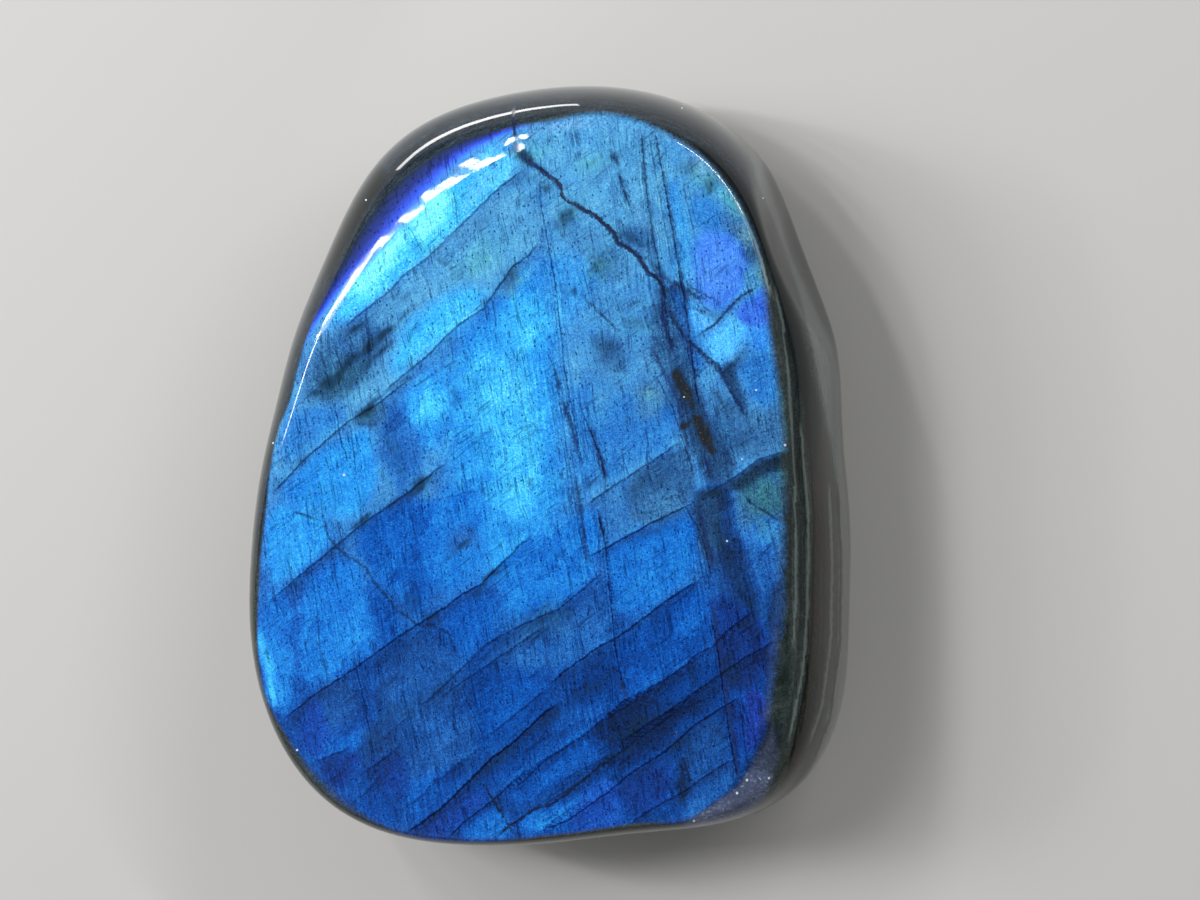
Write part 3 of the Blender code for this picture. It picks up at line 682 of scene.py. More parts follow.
GREEN_CLOUDS = [
    (764, 496, 24, 22, -30, 1.0), (785, 470, 20, 8, 90, 1.2), (545, 625, 50, 22, 25, 0.3),
    (592, 162, 24, 12, 20, 0.5), (480, 256, 40, 20, 40, 0.6), (600, 266, 26, 16, 60, 0.5),
    (340, 380, 36, 20, 40, 0.6), (515, 280, 24, 14, 45, 0.5), (706, 178, 26, 14, -45, 0.8),
    (732, 204, 26, 9, -55, 0.8), (750, 240, 26, 10, -62, 0.7), (762, 272, 14, 9, -60, 0.8),
    (368, 414, 20, 8, 35, 0.5), (640, 325, 24, 16, 0, 0.3), (418, 482, 20, 10, 35, 0.4),
    (570, 215, 24, 14, 45, 0.5), (530, 152, 20, 16, 0, 0.6), (780, 330, 60, 7, -80, 0.9),
    (400, 230, 60, 16, 50, 0.2), (788, 400, 60, 8, -86, 0.9), (650, 395, 26, 10, -20, 0.5),
    (762, 525, 22, 12, -40, 0.6),
]
PALE_CLOUDS = [
    (572, 124, 36, 7, 8, 0.6), (700, 166, 20, 12, -45, 0.7), (746, 236, 22, 9, -62, 0.6),
    (764, 272, 14, 9, -60, 0.7), (650, 392, 20, 8, -15, 0.4), (706, 322, 16, 10, -45, 0.5),
    (640, 216, 18, 6, -60, 0.4), (760, 200, 10, 5, -50, 0.3), (540, 215, 22, 10, 0, 0.3),
    (515, 380, 40, 20, -80, 0.25),
]


def clouded(at, clouds):
    """The strongest of some long soft spots: weight times e to the power of minus the square of the
    distance, with its parts along and across a cloud's heading over its half length and half width."""
    strongest = np.zeros(len(at))
    for x, y, half_length, half_width, heading, weight in clouds:
        right, up = at[:, 0] - x, y - at[:, 1]
        cosine, sine = math.cos(math.radians(heading)), math.sin(math.radians(heading))
        along = (right * cosine + up * sine) / half_length
        across = (up * cosine - right * sine) / half_width
        strongest = np.maximum(strongest, weight * np.exp(-along ** 2 - across ** 2))
    return strongest


# Damage and bare stone in the face: dark pits along the steep lines on the right, specks of dust, and a
# corner near the end where the stone is clear and grey instead of blue.
PITS = [
    # x, y, radius and depth
    (676, 374, 6, 1.0), (681, 384, 6, 1.1), (687, 394, 7, 1.1), (692, 406, 5, 0.8), (698, 420, 6, 1.0),
    (703, 431, 7, 1.1), (708, 443, 7, 1.1), (713, 452, 4, 0.9), (684, 426, 5, 1.0), (516, 146, 5, 0.7),
    (530, 160, 6, 0.5),
]
SPECKS = [
    # x, y and radius
    (344, 475, 1.6), (756, 390, 1.2), (727, 541, 1.2), (684, 397, 1.0), (785, 445, 1.4), (742, 459, 1.0),
    (297, 750, 1.3), (737, 793, 1.5), (747, 780, 1.4), (769, 778, 1.4), (694, 821, 1.4), (682, 108, 1.1),
    (763, 198, 1.1), (366, 200, 1.1), (273, 443, 1.2),
]
CLEAR_CORNER = [
    (684, 824), (712, 806), (738, 787), (750, 772), (772, 776), (764, 800), (738, 822), (690, 832),
]
CLEAR_EDGE = 8
VEIL = [(773, 722), (780, 760), (770, 778), (745, 778), (752, 762), (766, 738)]
VEIL_EDGE = 12
VEIL_STRENGTH = 0.45
CRACK_DEPTH = 0.03 * MM
CRACK_HALF_WIDTH = 1.5
PIT_DEPTH = 0.05 * MM
SHARP_ANGLE = math.radians(40)
RELIEF_ENDS = 1.5  # the way down the stone below which its skin is left smooth
SPECK_FAR = 40.0  # a place so many of a speck's radii away counts as clear of it


def fading(ends, over):
    """1 down the stone as far as a way down less the stretch it fades over, easing to 0 at that way."""
    return eased((ends - way_down) / over)


seen = fading(ends=2.05, over=0.25)
pit = sum(weight * spot(place, x, y, radius) for x, y, radius, weight in PITS) * seen
clear_stone = covered(place, CLEAR_CORNER, CLEAR_EDGE) + VEIL_STRENGTH * covered(place, VEIL, VEIL_EDGE)
clear_stone *= fading(ends=1.85, over=0.5)
cracks[:, 2] *= fading(ends=2.1, over=0.4)
from_speck = np.full((len(place), 2), SPECK_FAR)
for x, y, radius in SPECKS:
    apart = (place - (x, y)) / radius
    closer = np.hypot(*apart.T) < np.hypot(*from_speck.T)
    from_speck[closer] = apart[closer]

# The wall is the same stone with no flash: each zone is how light it is, how brown and how slate blue. On the
# right-hand wall, a dark shoulder band and the lighter flat and outer band beyond it are painted reflections.
# Seams are thin layers cropping out along the right-hand wall, dark ones and, below 0, light ones. Two of the
# light ones are painted highlights: the thin bright line along the face's right edge and the light streak
# down the right shoulder.
WALL_BASE = (0.55, 0.15, 0.0)
WALL_ZONES = [
    ((0.36, 0, 0.9), 12, [(255, 560), (262, 470), (290, 350), (322, 255), (380, 158), (440, 105), (520, 80),
     (640, 76), (720, 108), (765, 165), (752, 205), (715, 165), (664, 128), (600, 112), (530, 118),
     (450, 148), (385, 205), (335, 285), (300, 370), (275, 470), (266, 560)]),
    ((0.06, 0.3, 0.2), 6, [(330, 250), (352, 208), (378, 166), (386, 172), (368, 204), (318, 290)]),
    ((0.42, 0, 0.1), 4, [(768, 262), (780, 290), (792, 330), (800, 380), (806, 440), (808, 600), (803, 670),
     (795, 730), (782, 775), (764, 770), (776, 650), (784, 540), (784, 440), (776, 350), (768, 300)]),
    # A painted dark reflection: the shoulder band between the face's right edge and the flat.
    ((0.08, 0, 0.5), 5, [(690, 138), (722, 158), (756, 200), (778, 250), (795, 300), (826, 440), (828, 480),
     (820, 540), (808, 430), (782, 310), (768, 265), (728, 184), (704, 158)]),
    # A painted reflection: the flat, lightened.
    ((1.0, 0.05, 0.35), 3, [(745, 125), (775, 165), (792, 205), (838, 330), (850, 400), (858, 480),
     (860, 530), (844, 530), (829, 430), (808, 325), (792, 270), (774, 220), (754, 176)]),
    # A painted reflection: the light outer band at the wall's edge.
    ((1.12, 0.1, 0.1), 3, [(838, 420), (858, 440), (862, 560), (858, 650), (846, 710), (830, 755),
     (806, 800), (796, 792), (815, 756), (829, 718), (839, 650), (840, 560)]),
    ((0.32, 0.8, 0), 3, [(818, 400), (833, 480), (837, 560), (836, 650), (826, 716), (812, 756), (795, 790),
     (775, 806), (788, 770), (801, 720), (808, 660)]),
    ((0.1, 0.2, 0.8), 8, [(736, 745), (776, 715), (782, 750), (762, 785), (738, 800), (720, 806)]),
    ((0.2, 0.6, 0.1), 8, [(400, 836), (540, 846), (690, 828), (780, 800), (760, 840), (520, 870),
     (380, 850)]),
]
SEAMS_AND_HIGHLIGHTS = [
    (1.0, (806, 380), (814, 518), (813, 607), (811, 646), (807, 679), (787, 778)),
    (-0.4, (800, 420), (808.5, 518), (807.5, 607), (805.5, 646), (801.5, 679), (788, 744)),
    (0.5, (786, 330), (792, 380), (799, 480), (801, 600), (798, 660), (791, 710), (783, 750)),
    # A painted highlight: the light streak down the right shoulder.
    (-0.35, (774, 285), (783, 325), (788, 370), (795, 480), (796, 600), (793, 650)),
    (0.4, (790, 440), (790, 600), (786, 660)),
    (0.4, (820, 490), (824, 560), (824, 620), (820, 670), (811, 720), (799, 755)),
    (0.8, (837, 480), (841, 560), (840, 640), (830, 718), (813, 762), (796, 794)),
    (-0.35, (829, 480), (832, 560), (831, 640), (822, 706), (808, 748)),
    (0.4, (778, 262), (798, 345), (806, 390)),
    # A painted highlight: the thin bright line along the right edge of the face.
    (-0.9, (690, 150), (717, 174), (741, 210), (759, 252), (771, 298)),
]
walls = painted(place, np.tile(WALL_BASE, (len(place), 1)), WALL_ZONES)
walls = WALL_BASE + (walls - WALL_BASE) * seen[:, None]
seams, _, _ = traced(place, SEAMS_AND_HIGHLIGHTS)
seams[:, 2] *= seen

relief = CRACK_DEPTH * cracks[:, 2] * np.exp(-((crack_distance / CRACK_HALF_WIDTH) ** 2))
relief = (relief + PIT_DEPTH * pit) * (way_down < RELIEF_ENDS)
points = points - relief[:, None] * (0, 0, 1)

mesh = bpy.data.meshes.new("labradorite_polished")
mesh.from_pydata(points.tolist(), [], faces)
mesh.shade_smooth()
mesh.set_sharp_from_angle(angle=SHARP_ANGLE)
stone = bpy.data.objects.new("labradorite_polished", mesh)
bpy.context.scene.collection.objects.link(stone)
smudges = clouded(wandering(place, reach=1.6, wavelength=30, seed=2), SMUDGES)
clouds = [clouded(place, kind) for kind in (STREAKS, GREEN_CLOUDS, PALE_CLOUDS)]
from_speck = np.clip(from_speck, -SPECK_FAR, SPECK_FAR)
markings = {
    "blocks": blocks,
    "edge": np.stack([flash_in, edge_softness, fringe], axis=1),
    "twins": twins,
    "cleavage": cleavage,
    "cracks": cracks,
    "veins": veins,
    "seams": seams,
    "walls": walls,
    "damage": np.stack([pit, clear_stone, smudges], axis=1),
    "clouds": np.stack(clouds, axis=1),
    "specks": np.concatenate([from_speck, SPECK_FAR * (1 - seen[:, None])], axis=1),
}
for name, values in markings.items():
    attribute = mesh.attributes.new(name, "FLOAT_VECTOR", "POINT")
    attribute.data.foreach_set("vector", values.astype(np.float32).ravel())


class Wire:
    """A socket of a node tree. Arithmetic on wires adds Math nodes, and node() adds any other node."""

    def __init__(self, tree, socket=None):
        self.tree = tree
        self.socket = socket

    def node(self, kind, settings=None, inputs=None, output=0):
        """Adds a node, with its settings first, then values or links for its sockets by name or place."""
        node = self.tree.nodes.new("ShaderNode" + kind)
        for name, value in (settings or {}).items():
            if name == "stops":
                ramp = node.color_ramp.elements
                while len(ramp) < len(value):
                    ramp.new(0.5)
                for element, (position, colour) in zip(ramp, value):
                    element.position = position
                    element.color = colour
            else:
                setattr(node, name, value)
        for key, value in (inputs or {}).items():
            if isinstance(key, int):
                socket = node.inputs[key]
            else:
                socket = next(s for s in node.inputs if s.name == key and s.enabled)
            if isinstance(value, Wire):
                self.tree.links.new(value.socket, socket)
            else:
                socket.default_value = value
        outputs = [s for s in node.outputs if s.enabled]
        if isinstance(output, str):
            return Wire(self.tree, next(s for s in outputs if s.name == output))
        return Wire(self.tree, outputs[output] if outputs else None)

    def maths(self, operation, *others):
        """A Math node with this wire first."""
        return self.node("Math", {"operation": operation}, dict(enumerate((self, *others))))

    def __add__(self, other):
        return self.maths("ADD", other)

    def __sub__(self, other):
        return self.maths("SUBTRACT", other)

    def __mul__(self, other):
        return self.maths("MULTIPLY", other)

    def __rsub__(self, other):
        return self * -1 + other

    __radd__ = __add__
    __rmul__ = __mul__

    def between(self, low, high):
        """Eases from 0 at low to 1 at high."""
        settings = {"interpolation_type": "SMOOTHSTEP"}
        return self.node("MapRange", settings, {"Value": self, "From Min": low, "From Max": high})

    def parts(self):
        """The three parts of a vector."""
        return [self.node("SeparateXYZ", None, {0: self}, i) for i in range(3)]

    def along(self, x, y, z):
        """How far a place lies along a direction, as a dot product."""
        return self.node("VectorMath", {"operation": "DOT_PRODUCT"}, {0: self, 1: (x, y, z)}, "Value")

    def over(self, under, cover, blend="MIX"):
        """This colour laid over another, as far as the cover says."""
        inputs = {"Factor": cover, "A": under, "B": self}
        return self.node("Mix", {"data_type": "RGBA", "blend_type": blend}, inputs)


def shade(red, green, blue):
    """A colour given as sRGB from 0 to 255, as the linear values that sockets take."""
    parts = [part / 255 for part in (red, green, blue)]
    return (*[part / 12.92 if part < 0.0404 else ((part + 0.055) / 1.055) ** 2.4 for part in parts], 1)


# Colours, as sRGB from 0 to 255. The flash's run from no brightness to full, the others from 0 to 1.
# Above a tone of 1 the flash whitens towards cyan-white: painted glare, used by the glowing zones beside the
# left highlight.
FULL_TONE = 1.25
BLUE = [
    (0, (14, 32, 72)), (0.1, (14, 44, 98)), (0.2, (8, 56, 132)), (0.3, (6, 64, 150)), (0.4, (6, 78, 176)),
    (0.5, (10, 96, 195)), (0.6, (16, 115, 213)), (0.7, (26, 134, 224)), (0.8, (38, 154, 234)),
    (0.9, (48, 176, 243)), (1.0, (60, 202, 251)), (1.25, (132, 250, 253)),
]
GREY_BLUE = [
    (0, (24, 40, 58)), (0.2, (32, 62, 98)), (0.4, (42, 90, 138)), (0.6, (66, 128, 182)),
    (0.8, (84, 162, 210)), (1.25, (150, 226, 240)),
]
GREEN = [
    (0, (22, 42, 44)), (0.3, (40, 84, 98)), (0.5, (56, 116, 132)), (0.8, (84, 176, 196)),
    (1.25, (150, 240, 226)),
]
VIOLET = [
    (0, (26, 28, 78)), (0.2, (34, 42, 124)), (0.45, (46, 66, 208)), (0.8, (90, 120, 240)),
    (1.25, (150, 190, 250)),
]
FRINGE = [
    (0, (70, 150, 246)), (0.3, (60, 116, 244)), (0.5, (48, 78, 206)), (0.7, (34, 52, 132)),
    (1, (28, 42, 66)),
]
WALL = [(0, (8, 12, 12)), (0.3, (24, 34, 31)), (0.5, (42, 52, 48)), (0.7, (68, 74, 72)), (1, (110, 114, 110))]
BROWN_WALL = [(0, (12, 11, 8)), (0.3, (36, 34, 28)), (0.6, (62, 57, 47)), (1, (110, 100, 84))]
SLATE_WALL = [(0, (8, 12, 18)), (0.3, (24, 34, 44)), (0.5, (48, 60, 72)), (1, (100, 110, 120))]
HAZE = [(0, (50, 56, 72)), (0.5, (74, 84, 112)), (0.8, (116, 128, 156)), (1, (190, 198, 212))]
RUST = [(0, (6, 14, 36)), (0.6, (14, 32, 66)), (0.85, (44, 50, 62)), (1, (92, 84, 72))]
PIT_STONE = [(0, (14, 18, 24)), (0.55, (34, 36, 38)), (0.8, (64, 68, 58)), (1, (120, 124, 112))]
PALE_BLUE = (176, 204, 236)
SMUDGE_BLUE = (22, 48, 72)
VEIN_BLUE = (28, 44, 92)
LINE_BLUE = (86, 104, 134)
DARK_SEAM = (10, 14, 14)
LIGHT_SEAM_AND_HIGHLIGHT = (136, 152, 150)
DUST = (205, 222, 232)
POLISHED_ROUGHNESS = 0.06
WORN_ROUGHNESS = 0.2  # how much rougher a crack, a pit or dust is
WORN_DEPTH = 0.3  # how far it lies below the polish, in bumps
REFRACTION = 1.56
MIRRORING = 0.36
POLISH_BUMP = 0.04 * MM
POLISH_STRENGTH = 0.3

# The grain of the stone: steep, along its cleavage, and rising, along its twin lines.
STEEP_LEAN = math.radians(9.5)
TWIN_RISE = math.radians(37)
STEEP = (math.sin(STEEP_LEAN), -math.cos(STEEP_LEAN))
RISING = (math.cos(TWIN_RISE), math.sin(TWIN_RISE))

material = bpy.data.materials.new("labradorite")
material.use_nodes = True
material.node_tree.nodes.clear()
start = Wire(material.node_tree)
read = {name: start.node("Attribute", {"attribute_name": name}, None, "Vector") for name in markings}
here = start.node("TexCoord", None, None, "Object")
here = start.node("VectorMath", {"operation": "SCALE"}, {0: here, "Scale": 1 / MM})
x, y, level = here.parts()


def noise(place, scale, detail=2.0, roughness=0.5):
    """Smooth noise about 0, with its scale in features for each millimetre."""
    inputs = {"Vector": place, "Scale": scale, "Detail": detail, "Roughness": roughness}
    return start.node("TexNoise", None, inputs) - 0.5


def place_of(x, y, z=0.0):
    """Three wires or numbers as one place."""
    return start.node("CombineXYZ", None, {0: x, 1: y, 2: z})


def ramp(stops, value, full=1.0):
    """The colour at a value along some stops, the last of them at full."""
    stops = [(at / full, shade(*colour)) for at, colour in stops]
    return start.node("ValToRGB", {"stops": stops}, {0: value * (1 / full) if full != 1 else value})


def dyed(under, colour, cover, blend="MIX"):
    """A plain colour laid over another."""
    inputs = {"Factor": cover, "A": under, "B": shade(*colour)}
    return start.node("Mix", {"data_type": "RGBA", "blend_type": blend}, inputs)


def hairlines(across, along, width, broken):
    """Long fine lines where a stretched noise passes through 0, broken up by another pattern."""
    crossing = noise(place_of(across, along), 1.0).maths("ABSOLUTE")
    return (1 - crossing.between(*width)) * broken


def stirred(value, **shares):
    """A value with some of the patterns added, each by its share."""
    for name, share in shares.items():
        value = patterns[name] * share + value
    return value


def freckles(scale, stretch, size, share):
    """Small spots, one in each cell of a scattered pattern and stretched steeply, in a share of the cells."""
    place = place_of(across_steep * (scale * stretch), along_steep * scale)
    distance = start.node("TexVoronoi", None, {"Vector": place, "Scale": 1.0})
    chance = start.node("TexVoronoi", None, {"Vector": place, "Scale": 1.0}, "Color").parts()[0]
    return (1 - distance.between(size * 0.5, size)) * (share - chance).between(0.0, 0.25)


def line(marking, width, soft, rough):
    """A marking's lines: their cover, 1 within a width in pixels and easing to 0 outside it, how far
    below the nearest line a place lies, and how strong that line is."""
    cosine, sine, strength = read[marking].parts()
    across = sine.maths("ARCTAN2", cosine) * (LINE_REACH / math.pi) + waver
    distance = stirred(across.maths("ABSOLUTE"), grain=rough)
    return (1 - distance.between(width, width + soft)) * strength, across, strength


# Patterns that several layers share, about 0 each, but for the last, which is from 0 to 1.
across_steep = here.along(-STEEP[1], STEEP[0], 0)
along_steep = here.along(*STEEP, 0)
across_twins = here.along(-RISING[1], RISING[0], 0)
along_twins = here.along(*RISING, 0)
bend = noise(here, scale=0.25) * 0.9  # in millimetres
wobble = noise(here, scale=0.9) * 0.5
waver = noise(here, scale=1.4, roughness=0.6) * 3.4  # in pixels
cells = place_of(across_steep * 0.42 + wobble, across_twins * 0.8 + wobble)
cells = start.node("TexVoronoi", {"distance": "CHEBYCHEV"}, {"Vector": cells, "Scale": 1.0}, "Color")
steep_bent = across_steep + bend
patterns = {
    "blocky": cells.parts()[0] - 0.5,
    "mottle": noise(here, scale=0.45, detail=3, roughness=0.6),
    "patch": noise(place_of(across_steep * 1.9, along_steep * 0.8), scale=1, roughness=0.6),
    "grain": noise(here, scale=3.4, roughness=0.6),
    "fine": noise(here, scale=7.5, roughness=0.7),
    "streaks": noise(place_of(steep_bent * 4.2, along_steep * 0.3), scale=1, detail=3, roughness=0.65),
    "feather": noise(place_of(steep_bent * 4.6, along_steep), scale=1, detail=3, roughness=0.65),
    "rising": noise(place_of(along_twins * 0.5, across_twins * 2.4), scale=1, detail=3, roughness=0.65),
    "broken": noise(here, scale=1.1).between(-0.22, 0.05),
}

# The flash: blue by its tone, greyed, then violet and green in places, pale in others.
tone, grey, violet = read["blocks"].parts()
damage, clear, smudge = read["damage"].parts()
streaky, green, pale = read["clouds"].parts()
streaky = streaky.maths("MAXIMUM", noise(here, scale=0.16, detail=1).between(0.02, 0.2) * 0.6)
tone = stirred(tone, blocky=0.1, mottle=0.12, patch=0.16, grain=0.36, fine=0.9, streaks=streaky * 0.7 + 0.24)
tone = tone - smudge * 0.05
greyed = (grey * stirred(1, mottle=0.8)).between(-0.2, 1.15)
greened = (green * stirred(0.9, mottle=1, grain=2.4, fine=2)).between(0.05, 0.9) * 0.9
paled = (pale * stirred(0.5, grain=2.5)).between(0.0, 1.6)
flash = ramp(BLUE, tone, FULL_TONE)
flash = ramp(GREY_BLUE, tone, FULL_TONE).over(flash, greyed)
flash = ramp(VIOLET, tone, FULL_TONE).over(flash, violet)
flash = ramp(GREEN, tone, FULL_TONE).over(flash, greened)
flash = dyed(flash, PALE_BLUE, paled)
way_in, softness, rim = read["edge"].parts()
flash = ramp(FRINGE, stirred(rim, grain=0.2, fine=0.15)).over(flash, rim.between(0.0, 0.4))

# Lines in the flash: dark smudges under the twin lines, cleavage lines with fainter ones beside them,
# veins, hairs both ways, dots and strokes.
twin, below, strength = line("twins", width=0.3, soft=1.5, rough=1.6)
under_twin = (1 - below.between(0.0, LINE_REACH)) * below.maths("GREATER_THAN", 0.0) * strength
smudge = smudge.maths("MAXIMUM", under_twin * patterns["patch"].between(-0.08, 0.2) * 0.6)
dirt = stirred(smudge, feather=1.2, rising=0.9, grain=0.9, fine=1)
flash = dyed(flash, SMUDGE_BLUE, dirt.between(0.15, 1.0) * 0.84)
crease, aside, strength = line("cleavage", width=0.15, soft=1.2, rough=2.0)
for gap in (3.1, -4.6, 6.4):
    beside = stirred(aside - gap, patch=2.0).maths("ABSOLUTE")
    beside = (1 - beside.between(0.0, 1.1)) * strength * patterns["streaks"].between(-0.12, 0.1)
    crease = crease.maths("MAXIMUM", beside * 0.85)
vein, _, _ = line("veins", width=0.4, soft=4.2, rough=6.0)
vein = vein * stirred(1, streaks=2.4, feather=1.2)
flash = dyed(flash, VEIN_BLUE, vein.between(0.0, 0.9) * 0.9)
present = noise(here, scale=0.7).between(-0.1, 0.08)
steep_hairs = hairlines(steep_bent * 1.5, along_steep * 0.07, (0.004, 0.02), present)
present = noise(here, scale=0.55).between(-0.06, 0.1)
twin_hairs = hairlines((across_twins + bend * 0.5) * 1.3, along_twins * 0.06, (0.003, 0.016), present)
dots = freckles(scale=1.7, stretch=1.25, size=0.25, share=0.75)
dots = dots.maths("MAXIMUM", freckles(scale=1.05, stretch=2.6, size=0.24, share=0.5))
strokes = freckles(scale=0.42, stretch=6.5, size=0.3, share=0.3)
strokes = strokes.maths("MAXIMUM", freckles(scale=0.62, stretch=4.2, size=0.26, share=0.24))
strokes = strokes * patterns["mottle"].between(-0.1, 0.05)
ink = twin * stirred(0.75, broken=0.3)
for lines in (
    crease * stirred(0.7, broken=0.5),
    steep_hairs * 0.75,
    twin_hairs * 0.6,
    dots * stirred(0.85, grain=1.4),
    strokes * 0.8,
):
    ink = ink.maths("MAXIMUM", lines)
flash = dyed(flash, LINE_BLUE, ink * 0.92, "MULTIPLY")

# The walls: dark grey-green stone, with the same thin layers seen edge on as fine level lines.
lightness, brown, slate = read["walls"].parts()
warp = noise(here, scale=0.1) * 1.6
patterns["layers"] = noise(place_of(x * 0.04, y * 0.04, level + warp), scale=2.4, detail=3, roughness=0.7)
patterns["fine_layers"] = noise(place_of(x * 0.12, y * 0.12, level + warp), scale=9, roughness=0.6)
patterns["clouding"] = noise(here, scale=0.5, detail=3, roughness=0.6)
lightness = stirred(lightness, layers=0.5, fine_layers=0.5, clouding=0.2, grain=0.3, fine=0.7)
browned = (brown + noise(here, scale=0.2) * 0.9).between(0.0, 1.1)
wall = ramp(BROWN_WALL, lightness).over(ramp(WALL, lightness), browned)
wall = ramp(SLATE_WALL, lightness).over(wall, slate)
seam_and_highlight, _, _ = line("seams", width=0.5, soft=1.6, rough=1.0)
wall = dyed(wall, DARK_SEAM, seam_and_highlight.maths("MAXIMUM", 0.0) * 0.95)
# Light seams, and the painted highlights along the right edge and shoulder, in the same pale colour.
wall = dyed(wall, LIGHT_SEAM_AND_HIGHLIGHT, (seam_and_highlight * -1).maths("MAXIMUM", 0.0) * 0.8)
way_in = way_in + stirred(0, grain=0.8, mottle=0.6) * softness
surface = flash.over(wall, way_in.between(softness * -1, softness))

# Over both: the clear corner, the open cracks, the pits and the dust.
haze = ramp(HAZE, stirred(0.42, mottle=0.8, grain=1, fine=0.8))
surface = haze.over(surface, clear.between(0.0, 0.9))
cracked, _, _ = line("cracks", width=0.35, soft=1.9, rough=4.0)
rust = ramp(RUST, stirred(0.4, mottle=1.2, grain=0.9))
surface = rust.over(surface, (cracked * stirred(0.8, broken=0.5)).maths("MINIMUM", 0.95))
pitted = (damage * stirred(1, grain=2.2, fine=1.5)).between(0.25, 0.85) * 0.92
surface = ramp(PIT_STONE, stirred(0.4, grain=1.6, fine=1)).over(surface, pitted)
speck_x, speck_y, unseen = read["specks"].parts()
from_dust = (speck_x * speck_x + speck_y * speck_y).maths("SQRT") + unseen
dust = 1 - stirred(from_dust, grain=0.8).between(0.5, 1.1)
surface = dyed(surface, DUST, dust * 0.85)

# The polish: a mirror with slow waves in it, dull where the stone is worn.
worn = cracked.maths("MAXIMUM", damage.maths("MINIMUM", 1.0)).maths("MAXIMUM", dust)
roughness = noise(here, scale=0.3) * 0.02 + worn * WORN_ROUGHNESS + POLISHED_ROUGHNESS
waves = stirred(noise(here, scale=0.35), fine=0.05) - worn * WORN_DEPTH
polish = {"Strength": POLISH_STRENGTH, "Distance": POLISH_BUMP, "Height": waves}
skin = start.node("BsdfPrincipled", None, {
    "Base Color": surface, "Roughness": roughness, "IOR": REFRACTION, "Specular IOR Level": MIRRORING,
    "Normal": start.node("Bump", None, polish, "Normal"),
})
start.node("OutputMaterial", None, {"Surface": skin})
mesh.materials.append(material)

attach(stone, "root")
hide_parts("labradorite_stone")


# Floor. A pale matt table under the stone. It is one square of painted board, larger than the view.
FLOOR_SIDE = 2.0
FLOOR_COLOUR = (184, 183, 181)
FLOOR_ROUGHNESS = 0.7

reach = FLOOR_SIDE / 2
board = bpy.data.meshes.new("floor")
board.from_pydata([(-reach, -reach, 0), (reach, -reach, 0), (reach, reach, 0), (-reach, reach, 0)],
                  [], [(0, 1, 2, 3)])
floor = bpy.data.objects.new("floor", board)
bpy.context.scene.collection.objects.link(floor)
paint = bpy.data.materials.new("pale_table")
paint.use_nodes = True
painted_board = paint.node_tree.nodes["Principled BSDF"]
painted_board.inputs["Base Color"].default_value = shade(*FLOOR_COLOUR)
painted_board.inputs["Roughness"].default_value = FLOOR_ROUGHNESS
board.materials.append(paint)


# Light. A bank of small lamps on the far left draws the broken bright line along the left shoulder, a low
# strip at the far end draws the thin arc round that end, and the sky is darkest straight above, where
# the face mirrors it.
LAMP_DISTANCE = 0.5
LAMPS = [
    # name, compass, height above level and lean (degrees), width, height (m), brightness
    ("right_strip", 48, 39, 0, 0.30, 0.021, 42.0),
    ("right_end", 24, 47, 0, 0.10, 0.012, 12.0),
    ("left_glow", 164, 41, 0, 0.060, 0.16, 7.0),
    ("left_low", 173, 37, 0, 0.070, 0.036, 26.0),
    ("bead_1", 167, 33, 3, 0.008, 0.070, 54.0),
    ("bead_2", 164, 36, 3, 0.008, 0.090, 54.0),
    ("bead_3", 163, 41, 3, 0.008, 0.100, 54.0),
    ("bead_4", 162, 44, 4, 0.008, 0.100, 62.0),
    ("bead_5", 160, 51, 6, 0.009, 0.110, 62.0),
    ("bead_6", 156, 58, 10, 0.010, 0.110, 62.0),
    ("dot_1", 148.5, 57, 14, 0.010, 0.110, 62.0),
    ("dot_2", 146.5, 61, 14, 0.010, 0.110, 62.0),
    ("dot_3", 136, 52, 14, 0.011, 0.100, 62.0),
    ("dot_4", 142, 65, 14, 0.012, 0.100, 62.0),
    ("dot_5", 124, 47, 14, 0.018, 0.110, 62.0),
]
LOW_STRIP_ENDS = (Vector((-39, 53, 15)) * MM, Vector((-1, 58, 3)) * MM)
LOW_STRIP_AIM = Vector((-3, 30, 17)) * MM
LOW_STRIP_WIDTH = 3 * MM
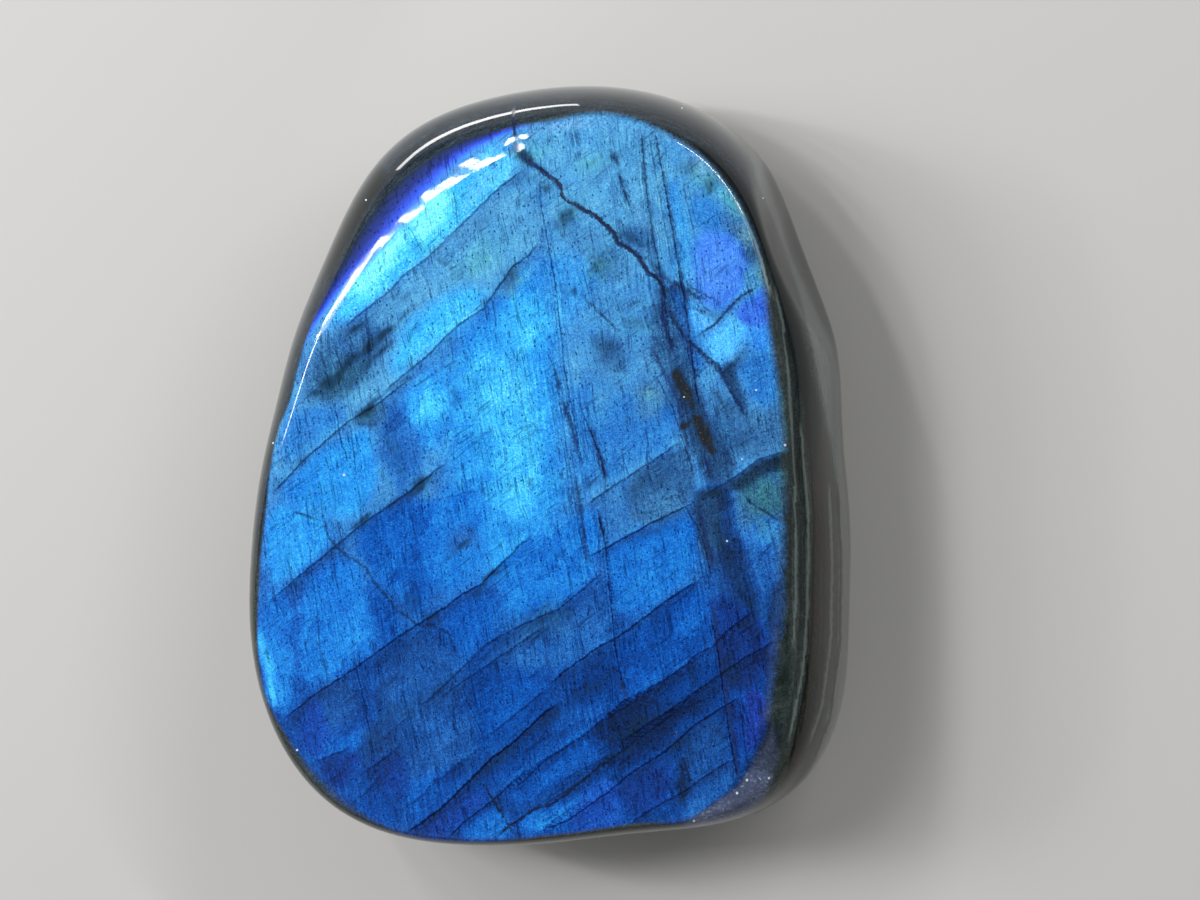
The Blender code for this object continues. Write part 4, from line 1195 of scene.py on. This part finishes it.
LOW_STRIP_BRIGHTNESS = 5.0
LOW_STRIP_SPREAD = math.radians(110)
SKY = [(0, 0.1), (0.1, 0.14), (0.3, 0.3), (0.7, 0.4), (0.84, 0.3), (0.93, 0.06), (1, 0.05)]  # by height


def lamp(name, place, aim, width, height, lean, brightness):
    """Makes a flat rectangular lamp aimed at a place, its top leaning left as seen from there. Its power
    is brightness x area x pi."""
    light = bpy.data.lights.new(name, "AREA")
    light.shape = "RECTANGLE"
    light.size = width
    light.size_y = height
    light.energy = brightness * width * height * math.pi
    fixture = bpy.data.objects.new(name, light)
    fixture.location = place
    turn = (place - aim).to_track_quat("Z", "Y").to_matrix() @ Matrix.Rotation(-lean, 3, "Z")
    fixture.rotation_euler = turn.to_euler()
    fixture.visible_camera = False
    bpy.context.scene.collection.objects.link(fixture)
    return light


face_middle = Vector((0, 0, FACE_HEIGHT))
for name, *angles, width, height, brightness in LAMPS:
    compass, rise, lean = map(math.radians, angles)
    away = Vector((math.cos(compass) * math.cos(rise), math.sin(compass) * math.cos(rise), math.sin(rise)))
    lamp(name, face_middle + away * LAMP_DISTANCE, face_middle, width, height, lean, brightness)

# The low strip lies slantwise behind the far end, close to the table.
left_end, right_end = LOW_STRIP_ENDS
slope = right_end - left_end
lean = math.asin(slope.z / slope.length)
strip = lamp("low_strip", (left_end + right_end) / 2, LOW_STRIP_AIM, slope.length, LOW_STRIP_WIDTH, lean,
             LOW_STRIP_BRIGHTNESS)
strip.spread = LOW_STRIP_SPREAD

world = bpy.data.worlds.new("studio")
bpy.context.scene.world = world
world.use_nodes = True
world.node_tree.nodes.clear()
sky = Wire(world.node_tree)
up = sky.node("TexCoord", None, None, "Generated").parts()[2]
stops = [(at, (glow, glow, glow, 1)) for at, glow in SKY]
glow = sky.node("ValToRGB", {"stops": stops}, {0: up})
background = sky.node("Background", None, {"Color": glow, "Strength": 1.0})
sky.node("OutputWorld", None, {"Surface": background})
bpy.context.scene.view_settings.view_transform = "Standard"
